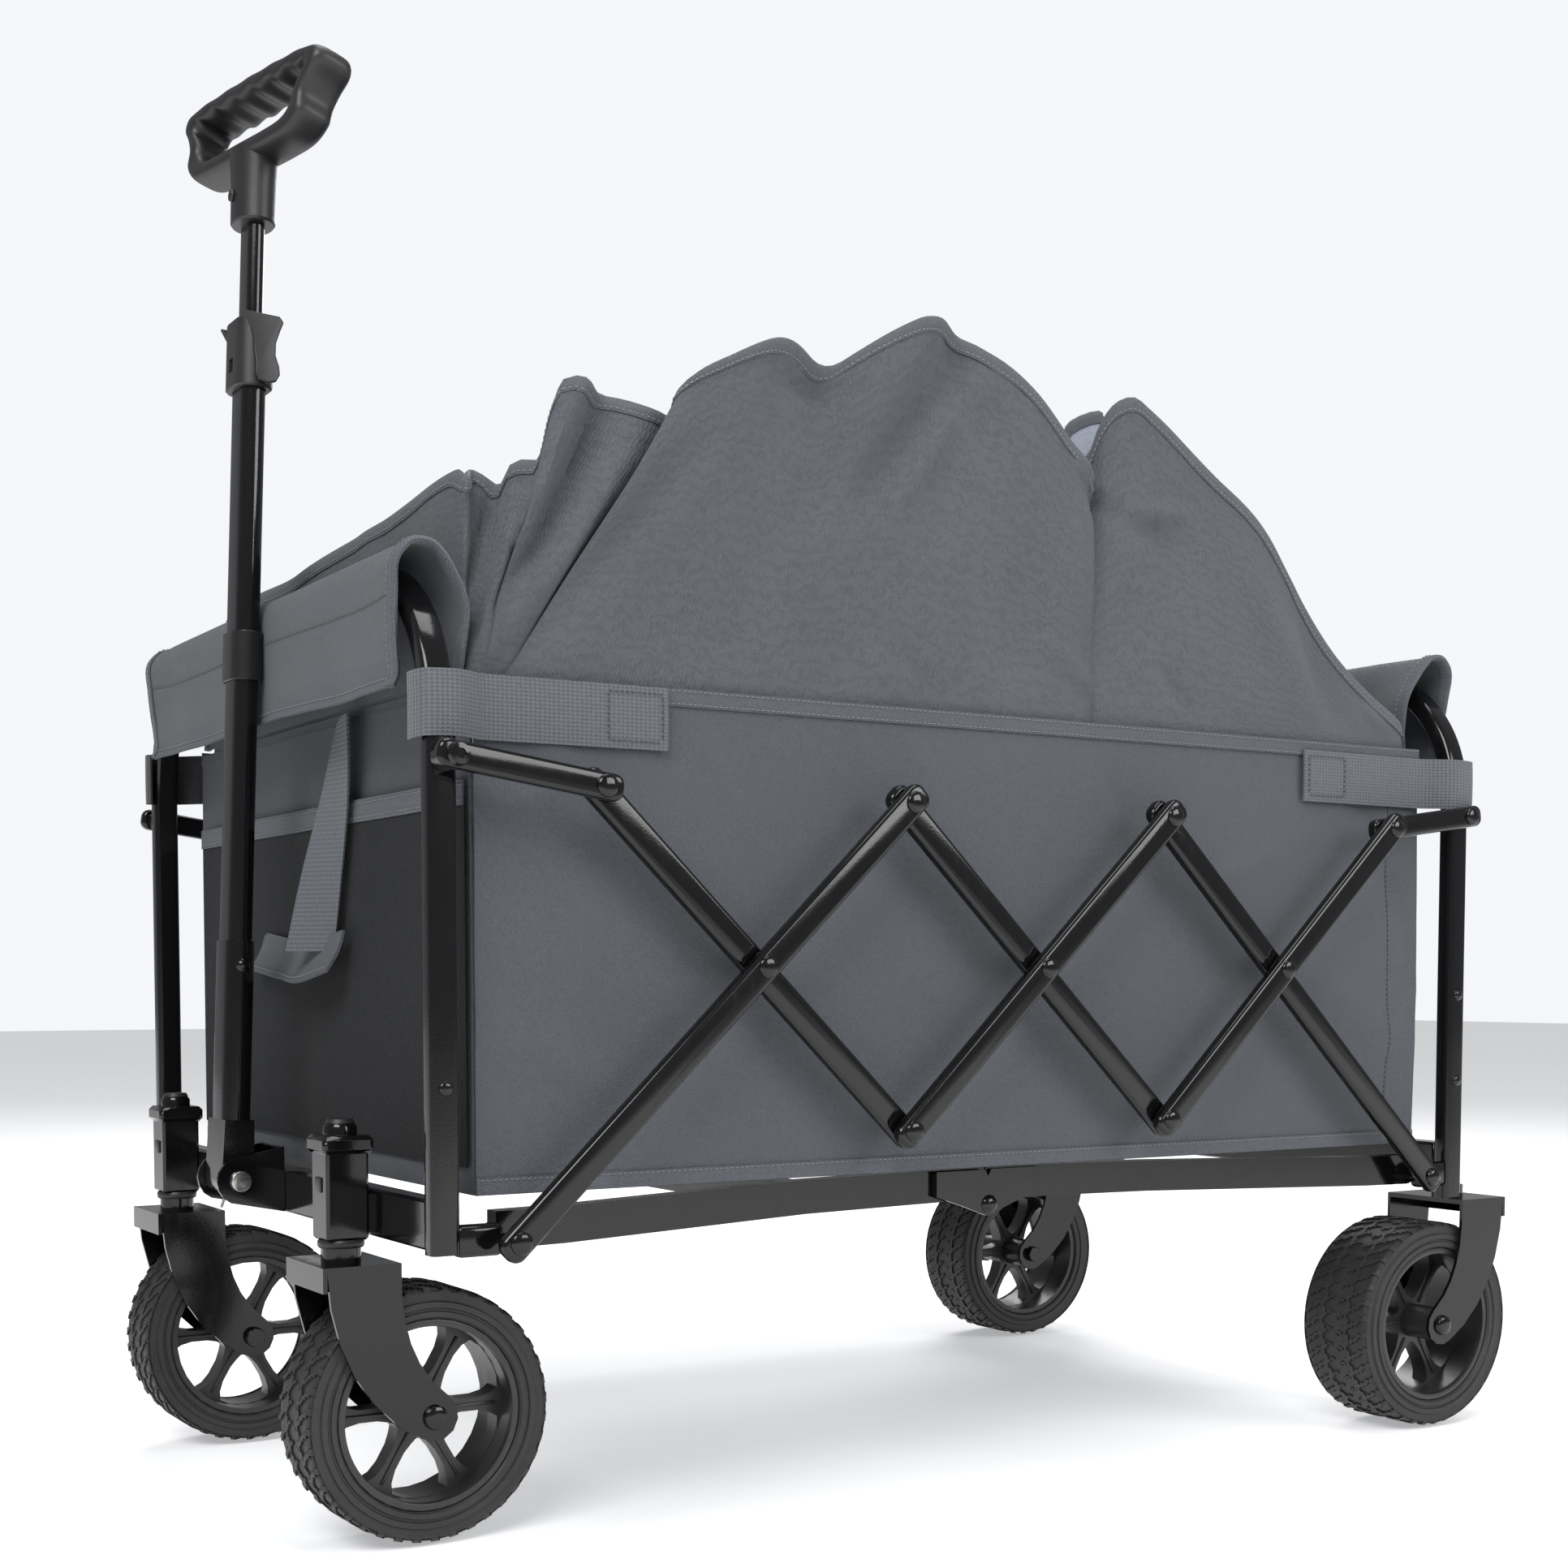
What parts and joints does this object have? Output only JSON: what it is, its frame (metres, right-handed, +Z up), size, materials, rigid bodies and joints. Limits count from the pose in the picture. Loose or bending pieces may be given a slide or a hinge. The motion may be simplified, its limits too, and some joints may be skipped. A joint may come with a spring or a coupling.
{
  "type": "wagon with pull handle",
  "caption": "Folding utility wagon with a soft fabric tub on a scissor steel frame and a tilting telescopic pull handle.",
  "frame": {"origin": "on the floor under the centre of the wagon", "axes": "+Z up, -Y towards the pull handle, +X to the wagon's left as it faces the handle"},
  "size_m": [0.6812, 1.0695, 1.0531],
  "materials": {
    "base_front_frame": "gloss",
    "base_rear_frame": "gloss",
    "floor_board_front": "fabric over a stiff board",
    "floor_board_rear": "fabric over a stiff board",
    "front_arch": "gloss",
    "front_cross_rail": "gloss",
    "front_flap": "woven oxford",
    "front_left_axle": "gloss",
    "front_left_fork": "gloss",
    "front_left_rim": "satin",
    "front_left_tyre": "matt",
    "front_mesh_pocket": "mesh",
    "front_pull_strap": "webbing",
    "front_right_axle": "gloss",
    "front_right_fork": "gloss",
    "front_right_rim": "satin",
    "front_right_tyre": "matt",
    "handle_base_sleeve": "gloss",
    "handle_bracket": "gloss",
    "handle_grip": "satin",
    "handle_inner_tube": "gloss",
    "handle_latch_collar": "satin",
    "handle_outer_tube": "gloss",
    "handle_pivot_bolt": "zinc plated",
    "handle_strap_band": "webbing",
    "latch_lever_left": "satin",
    "latch_lever_right": "satin",
    "left_bar_front_inner": "gloss",
    "left_bar_front_outer": "gloss",
    "left_bar_middle_inner": "gloss",
    "left_bar_middle_outer": "gloss",
    "left_bar_rear_inner": "gloss",
    "left_bar_rear_outer": "gloss",
    "left_link_front": "gloss",
    "left_link_rear": "gloss",
    "rear_arch": "gloss",
    "rear_cross_rail": "gloss",
    "rear_flap": "woven oxford",
    "rear_left_axle": "gloss",
    "rear_left_fork": "gloss",
    "rear_left_rim": "satin",
    "rear_left_tyre": "matt",
    "rear_right_axle": "gloss",
    "rear_right_fork": "gloss",
    "rear_right_rim": "satin",
    "rear_right_tyre": "matt",
    "right_bar_front_inner": "gloss",
    "right_bar_front_outer": "gloss",
    "right_bar_middle_inner": "gloss",
    "right_bar_middle_outer": "gloss",
    "right_bar_rear_inner": "gloss",
    "right_bar_rear_outer": "gloss",
    "right_link_front": "gloss",
    "right_link_rear": "gloss",
    "tub_collar": "woven oxford",
    "tub_panel_front": "woven oxford",
    "tub_panel_rear": "woven oxford",
    "tub_wall_left": "woven oxford",
    "tub_wall_right": "woven oxford"
  },
  "bodies": {
    "front_frame": {"front_arch": "front_arch", "front_cross_rail": "front_cross_rail", "handle_bracket": "handle_bracket", "handle_pivot_bolt": "handle_pivot_bolt", "front_flap": "front_flap", "tub_wall_left": "tub_wall_left", "tub_wall_right": "tub_wall_right", "tub_panel_front": "tub_panel_front", "front_mesh_pocket": "front_mesh_pocket", "front_pull_strap": "front_pull_strap", "tub_collar": "tub_collar"},
    "base_front": {"base_front_frame": "base_front_frame", "floor_board_front": "floor_board_front"},
    "base_rear": {"base_rear_frame": "base_rear_frame", "floor_board_rear": "floor_board_rear"},
    "rear_frame": {"rear_arch": "rear_arch", "rear_cross_rail": "rear_cross_rail", "rear_flap": "rear_flap", "tub_panel_rear": "tub_panel_rear", "rear_left_fork": "rear_left_fork", "rear_right_fork": "rear_right_fork", "rear_left_axle": "rear_left_axle", "rear_right_axle": "rear_right_axle"},
    "handle_lower": {"handle_base_sleeve": "handle_base_sleeve", "handle_outer_tube": "handle_outer_tube", "handle_latch_collar": "handle_latch_collar", "handle_strap_band": "handle_strap_band"},
    "handle_upper": {"handle_inner_tube": "handle_inner_tube", "handle_grip": "handle_grip"},
    "latch_left": {"latch_lever_left": "latch_lever_left"},
    "latch_right": {"latch_lever_right": "latch_lever_right"},
    "front_left_caster": {"front_left_fork": "front_left_fork", "front_left_axle": "front_left_axle"},
    "front_left_wheel": {"front_left_rim": "front_left_rim", "front_left_tyre": "front_left_tyre"},
    "rear_left_wheel": {"rear_left_rim": "rear_left_rim", "rear_left_tyre": "rear_left_tyre"},
    "front_right_caster": {"front_right_fork": "front_right_fork", "front_right_axle": "front_right_axle"},
    "front_right_wheel": {"front_right_rim": "front_right_rim", "front_right_tyre": "front_right_tyre"},
    "rear_right_wheel": {"rear_right_rim": "rear_right_rim", "rear_right_tyre": "rear_right_tyre"},
    "left_bar_front_outer": {"left_bar_front_outer": "left_bar_front_outer"},
    "left_bar_front_inner": {"left_bar_front_inner": "left_bar_front_inner"},
    "left_bar_middle_inner": {"left_bar_middle_inner": "left_bar_middle_inner"},
    "left_bar_middle_outer": {"left_bar_middle_outer": "left_bar_middle_outer"},
    "left_bar_rear_inner": {"left_bar_rear_inner": "left_bar_rear_inner"},
    "left_bar_rear_outer": {"left_bar_rear_outer": "left_bar_rear_outer"},
    "left_link_front": {"left_link_front": "left_link_front"},
    "left_link_rear": {"left_link_rear": "left_link_rear"},
    "right_bar_front_outer": {"right_bar_front_outer": "right_bar_front_outer"},
    "right_bar_front_inner": {"right_bar_front_inner": "right_bar_front_inner"},
    "right_bar_middle_inner": {"right_bar_middle_inner": "right_bar_middle_inner"},
    "right_bar_middle_outer": {"right_bar_middle_outer": "right_bar_middle_outer"},
    "right_bar_rear_inner": {"right_bar_rear_inner": "right_bar_rear_inner"},
    "right_bar_rear_outer": {"right_bar_rear_outer": "right_bar_rear_outer"},
    "right_link_front": {"right_link_front": "right_link_front"},
    "right_link_rear": {"right_link_rear": "right_link_rear"}
  },
  "joints": [
    {"name": "base_fold", "type": "hinge", "parent": "front_frame", "child": "base_front", "pos_m": [0, -0.429, 0.219], "axis": [1, 0, 0], "range_deg": [0, 80], "deforming": ["tub_wall_left", "tub_wall_right", "tub_panel_front", "tub_panel_rear", "tub_collar", "front_mesh_pocket", "front_pull_strap"]},
    {"name": "base_center", "type": "hinge", "parent": "base_front", "child": "base_rear", "pos_m": [0, 0, 0.214], "axis": [1, 0, 0], "range_deg": [-160, 0]},
    {"name": "rear_frame_fold", "type": "hinge", "parent": "base_rear", "child": "rear_frame", "pos_m": [0, 0.429, 0.219], "axis": [1, 0, 0], "range_deg": [0, 80]},
    {"name": "handle_tilt", "type": "hinge", "parent": "front_frame", "child": "handle_lower", "pos_m": [0, -0.512, 0.238], "axis": [1, 0, 0], "range_deg": [0, 100], "stiffness_Nm_per_rad": 3, "springref_deg": -34.38},
    {"name": "handle_extend", "type": "slide", "parent": "handle_lower", "child": "handle_upper", "axis": [0, 0.0384, 0.9993], "range_m": [-0.055, 0.28]},
    {"name": "latch_left_press", "type": "hinge", "parent": "handle_lower", "child": "latch_left", "pos_m": [0.0256, -0.48858, 0.84755], "axis": [0, -0.9993, 0.0384], "range_deg": [0, 3], "stiffness_Nm_per_rad": 0.3, "springref_deg": -3.44},
    {"name": "front_left_swivel", "type": "hinge", "parent": "front_frame", "child": "front_left_caster", "pos_m": [0.193, -0.4965, 0.197], "axis": [0, 0, 1], "continuous": true},
    {"name": "front_left_roll", "type": "hinge", "parent": "front_left_caster", "child": "front_left_wheel", "pos_m": [0.193, -0.4445, 0.09], "axis": [1, 0, 0], "continuous": true},
    {"name": "rear_left_roll", "type": "hinge", "parent": "rear_frame", "child": "rear_left_wheel", "pos_m": [0.282, 0.445, 0.09], "axis": [1, 0, 0], "continuous": true},
    {"name": "latch_right_press", "type": "hinge", "parent": "handle_lower", "child": "latch_right", "pos_m": [-0.0256, -0.48858, 0.84755], "axis": [0, 0.9993, -0.0384], "range_deg": [0, 3], "stiffness_Nm_per_rad": 0.3, "springref_deg": -3.44},
    {"name": "front_right_swivel", "type": "hinge", "parent": "front_frame", "child": "front_right_caster", "pos_m": [-0.193, -0.4965, 0.197], "axis": [0, 0, 1], "continuous": true},
    {"name": "front_right_roll", "type": "hinge", "parent": "front_right_caster", "child": "front_right_wheel", "pos_m": [-0.193, -0.4445, 0.09], "axis": [1, 0, 0], "continuous": true},
    {"name": "rear_right_roll", "type": "hinge", "parent": "rear_frame", "child": "rear_right_wheel", "pos_m": [-0.282, 0.445, 0.09], "axis": [1, 0, 0], "continuous": true},
    {"name": "left_bar_front_outer_fold", "type": "hinge", "parent": "front_frame", "child": "left_bar_front_outer", "pos_m": [0.3318, -0.429, 0.219], "axis": [1, 0, 0], "range_deg": [0, 39.11]},
    {"name": "left_bar_front_inner_fold", "type": "hinge", "parent": "left_bar_front_outer", "child": "left_bar_front_inner", "pos_m": [0.3202, -0.24402, 0.39577], "axis": [1, 0, 0], "range_deg": [-77.72, 0]},
    {"name": "left_bar_middle_inner_fold", "type": "hinge", "parent": "left_bar_front_outer", "child": "left_bar_middle_inner", "pos_m": [0.3202, -0.12201, 0.51237], "axis": [1, 0, 0], "range_deg": [-77.72, 0]},
    {"name": "left_bar_middle_outer_fold", "type": "hinge", "parent": "left_bar_middle_inner", "child": "left_bar_middle_outer", "pos_m": [0.3318, 0, 0.39577], "axis": [1, 0, 0], "range_deg": [0, 77.72]},
    {"name": "left_bar_rear_inner_fold", "type": "hinge", "parent": "rear_frame", "child": "left_bar_rear_inner", "pos_m": [0.3202, 0.429, 0.219], "axis": [1, 0, 0], "range_deg": [-39.11, 0]},
    {"name": "left_bar_rear_outer_fold", "type": "hinge", "parent": "left_bar_rear_inner", "child": "left_bar_rear_outer", "pos_m": [0.3318, 0.24402, 0.39577], "axis": [1, 0, 0], "range_deg": [0, 77.72]},
    {"name": "left_link_front_fold", "type": "hinge", "parent": "front_frame", "child": "left_link_front", "pos_m": [0.3318, -0.47, 0.527], "axis": [1, 0, 0], "range_deg": [0, 73.49]},
    {"name": "left_link_rear_fold", "type": "hinge", "parent": "rear_frame", "child": "left_link_rear", "pos_m": [0.3202, 0.47, 0.527], "axis": [1, 0, 0], "range_deg": [-73.49, 0]},
    {"name": "right_bar_front_outer_fold", "type": "hinge", "parent": "front_frame", "child": "right_bar_front_outer", "pos_m": [-0.3318, -0.429, 0.219], "axis": [1, 0, 0], "range_deg": [0, 39.11]},
    {"name": "right_bar_front_inner_fold", "type": "hinge", "parent": "right_bar_front_outer", "child": "right_bar_front_inner", "pos_m": [-0.3202, -0.24402, 0.39577], "axis": [1, 0, 0], "range_deg": [-77.72, 0]},
    {"name": "right_bar_middle_inner_fold", "type": "hinge", "parent": "right_bar_front_outer", "child": "right_bar_middle_inner", "pos_m": [-0.3202, -0.12201, 0.51237], "axis": [1, 0, 0], "range_deg": [-77.72, 0]},
    {"name": "right_bar_middle_outer_fold", "type": "hinge", "parent": "right_bar_middle_inner", "child": "right_bar_middle_outer", "pos_m": [-0.3318, 0, 0.39577], "axis": [1, 0, 0], "range_deg": [0, 77.72]},
    {"name": "right_bar_rear_inner_fold", "type": "hinge", "parent": "rear_frame", "child": "right_bar_rear_inner", "pos_m": [-0.3202, 0.429, 0.219], "axis": [1, 0, 0], "range_deg": [-39.11, 0]},
    {"name": "right_bar_rear_outer_fold", "type": "hinge", "parent": "right_bar_rear_inner", "child": "right_bar_rear_outer", "pos_m": [-0.3318, 0.24402, 0.39577], "axis": [1, 0, 0], "range_deg": [0, 77.72]},
    {"name": "right_link_front_fold", "type": "hinge", "parent": "front_frame", "child": "right_link_front", "pos_m": [-0.3318, -0.47, 0.527], "axis": [1, 0, 0], "range_deg": [0, 73.49]},
    {"name": "right_link_rear_fold", "type": "hinge", "parent": "rear_frame", "child": "right_link_rear", "pos_m": [-0.3202, 0.47, 0.527], "axis": [1, 0, 0], "range_deg": [-73.49, 0]}
  ],
  "couplings": [
    {"joint": "base_center", "follows": "base_fold", "ratio": -2},
    {"joint": "rear_frame_fold", "follows": "base_fold", "ratio": 1},
    {"joint": "left_bar_front_outer_fold", "follows": "base_fold", "ratio": 0.48261},
    {"joint": "left_bar_front_inner_fold", "follows": "base_fold", "ratio": -0.96521},
    {"joint": "left_bar_middle_inner_fold", "follows": "base_fold", "ratio": -0.96521},
    {"joint": "left_bar_middle_outer_fold", "follows": "base_fold", "ratio": 0.96521},
    {"joint": "left_bar_rear_inner_fold", "follows": "base_fold", "ratio": -0.48261},
    {"joint": "left_bar_rear_outer_fold", "follows": "base_fold", "ratio": 0.96521},
    {"joint": "left_link_front_fold", "follows": "base_fold", "ratio": 0.91234},
    {"joint": "left_link_rear_fold", "follows": "base_fold", "ratio": -0.91234},
    {"joint": "right_bar_front_outer_fold", "follows": "base_fold", "ratio": 0.48261},
    {"joint": "right_bar_front_inner_fold", "follows": "base_fold", "ratio": -0.96521},
    {"joint": "right_bar_middle_inner_fold", "follows": "base_fold", "ratio": -0.96521},
    {"joint": "right_bar_middle_outer_fold", "follows": "base_fold", "ratio": 0.96521},
    {"joint": "right_bar_rear_inner_fold", "follows": "base_fold", "ratio": -0.48261},
    {"joint": "right_bar_rear_outer_fold", "follows": "base_fold", "ratio": 0.96521},
    {"joint": "right_link_front_fold", "follows": "base_fold", "ratio": 0.91234},
    {"joint": "right_link_rear_fold", "follows": "base_fold", "ratio": -0.91234}
  ]
}
